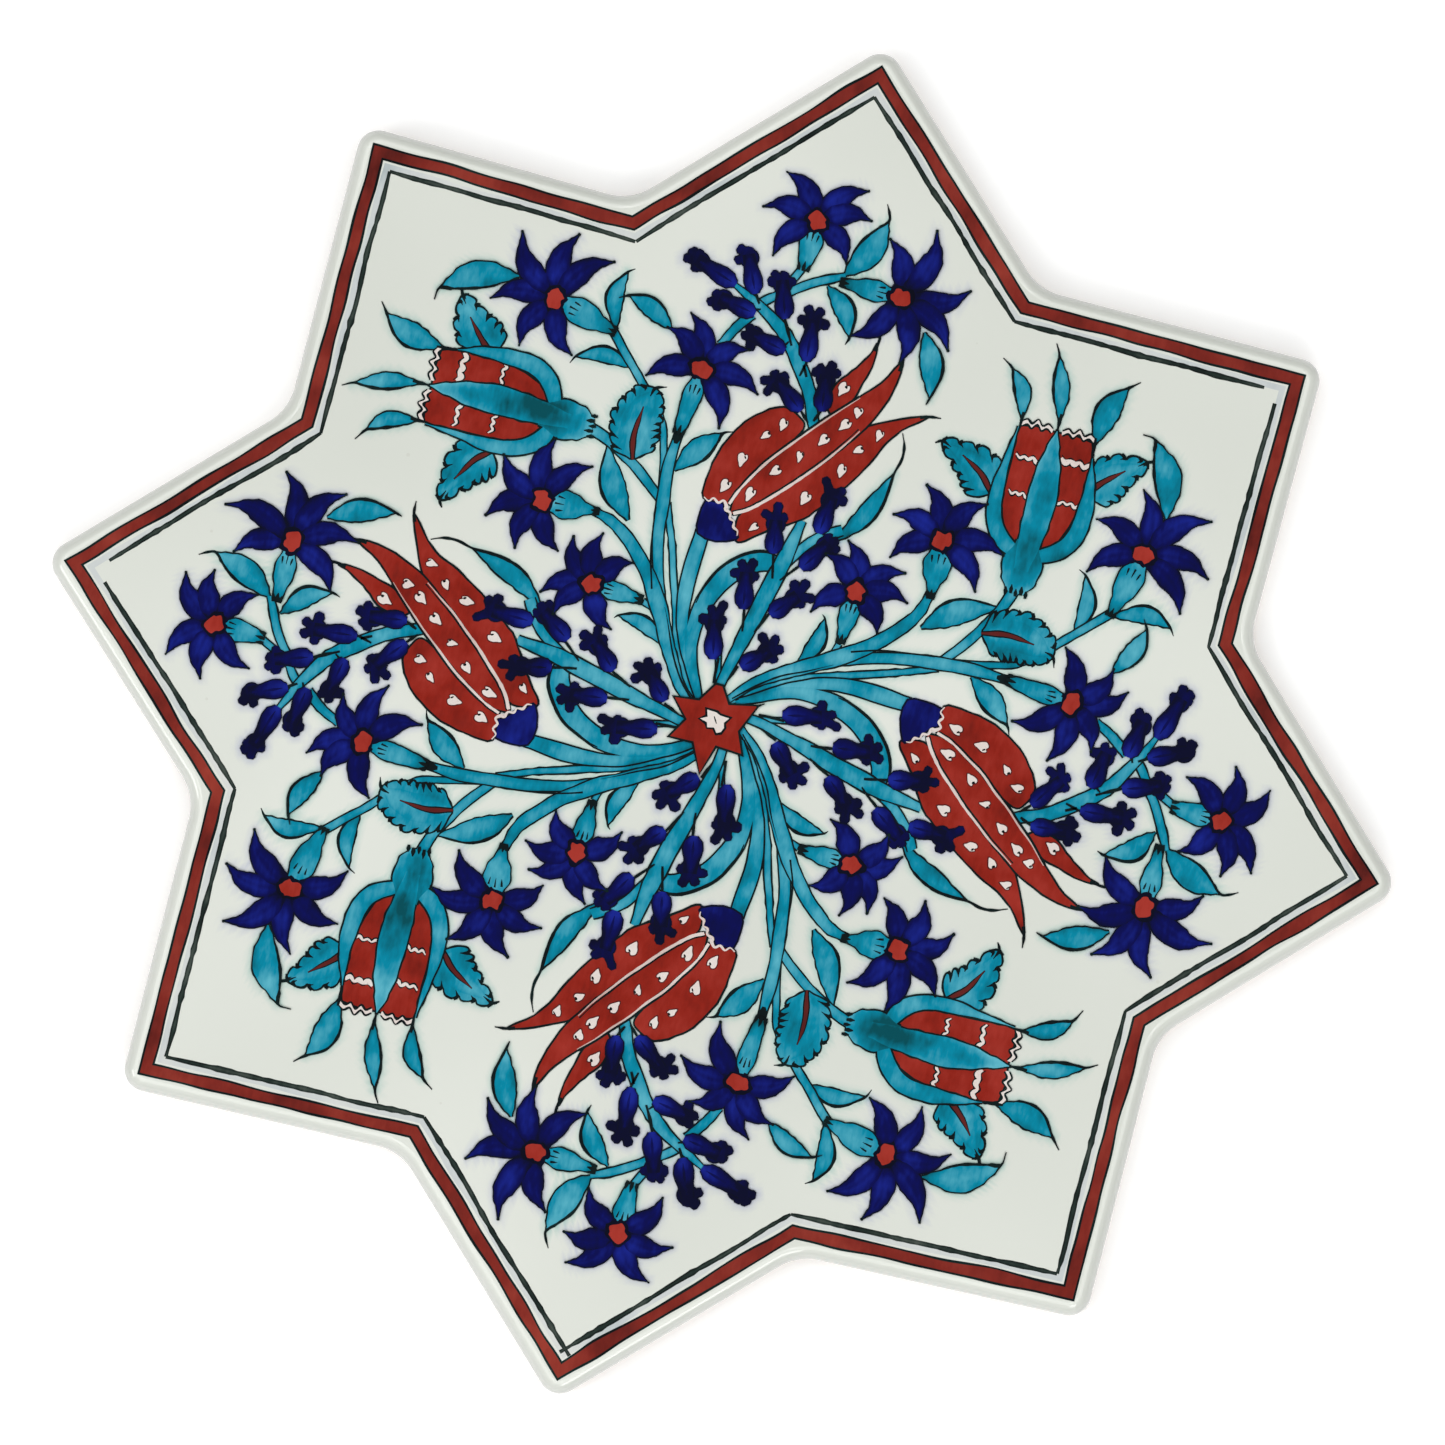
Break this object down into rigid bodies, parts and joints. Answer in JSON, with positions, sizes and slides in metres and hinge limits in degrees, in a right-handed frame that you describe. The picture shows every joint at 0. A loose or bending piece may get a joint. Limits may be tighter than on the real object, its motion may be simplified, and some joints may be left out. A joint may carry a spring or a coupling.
{
  "type": "star-shaped ceramic tile",
  "caption": "Star-shaped tile of glazed ceramic, hand painted with tulips, rosebuds, star flowers and hyacinths round a red star, inside a red and black border.",
  "frame": {"origin": "middle of the flat back face; the tile lies face up", "axes": "+Z out of the painted face, +X and +Y through two of the eight points"},
  "size_m": [0.1997, 0.1998, 0.0094],
  "materials": {
    "bisque_clay": "unglazed fired clay, fine matt grain",
    "white_glaze": "clear glaze over white slip, glossy, slightly green-grey",
    "coral_red": "thick red slip under glaze, glossy, slightly raised",
    "green_black": "greenish black brush line under glaze, glossy",
    "cobalt_blue": "cobalt blue wash under glaze, glossy, pooled darker",
    "turquoise": "turquoise wash under glaze, glossy, pooled darker"
  },
  "bodies": {
    "root": {"bisque_body": "bisque_clay", "glaze_coat": "white_glaze", "red_border_band": "coral_red", "band_contour_outer": "green_black", "band_contour_inner": "green_black", "inner_black_line": "green_black", "centre_star": "coral_red", "vine_1": "turquoise", "tulip_1": "coral_red", "rosebud_1": "turquoise", "outer_spray_1": "cobalt_blue", "inner_spray_1": "cobalt_blue", "vine_2": "turquoise", "tulip_2": "coral_red", "rosebud_2": "turquoise", "outer_spray_2": "cobalt_blue", "inner_spray_2": "cobalt_blue", "vine_3": "turquoise", "tulip_3": "coral_red", "rosebud_3": "turquoise", "outer_spray_3": "cobalt_blue", "inner_spray_3": "cobalt_blue", "vine_4": "turquoise", "tulip_4": "coral_red", "rosebud_4": "turquoise", "outer_spray_4": "cobalt_blue", "inner_spray_4": "cobalt_blue", "star_flower_01": "cobalt_blue", "star_flower_02": "cobalt_blue", "star_flower_03": "cobalt_blue", "star_flower_04": "cobalt_blue", "star_flower_05": "cobalt_blue", "star_flower_06": "cobalt_blue", "star_flower_07": "cobalt_blue", "star_flower_08": "cobalt_blue", "star_flower_09": "cobalt_blue", "star_flower_10": "cobalt_blue", "star_flower_11": "cobalt_blue", "star_flower_12": "cobalt_blue", "star_flower_13": "cobalt_blue", "star_flower_14": "cobalt_blue", "star_flower_15": "cobalt_blue", "star_flower_16": "cobalt_blue", "star_flower_17": "cobalt_blue", "star_flower_18": "cobalt_blue", "star_flower_19": "cobalt_blue", "star_flower_20": "cobalt_blue", "star_flower_21": "cobalt_blue", "star_flower_22": "cobalt_blue", "star_flower_23": "cobalt_blue", "star_flower_24": "cobalt_blue"}
  },
  "joints": []
}
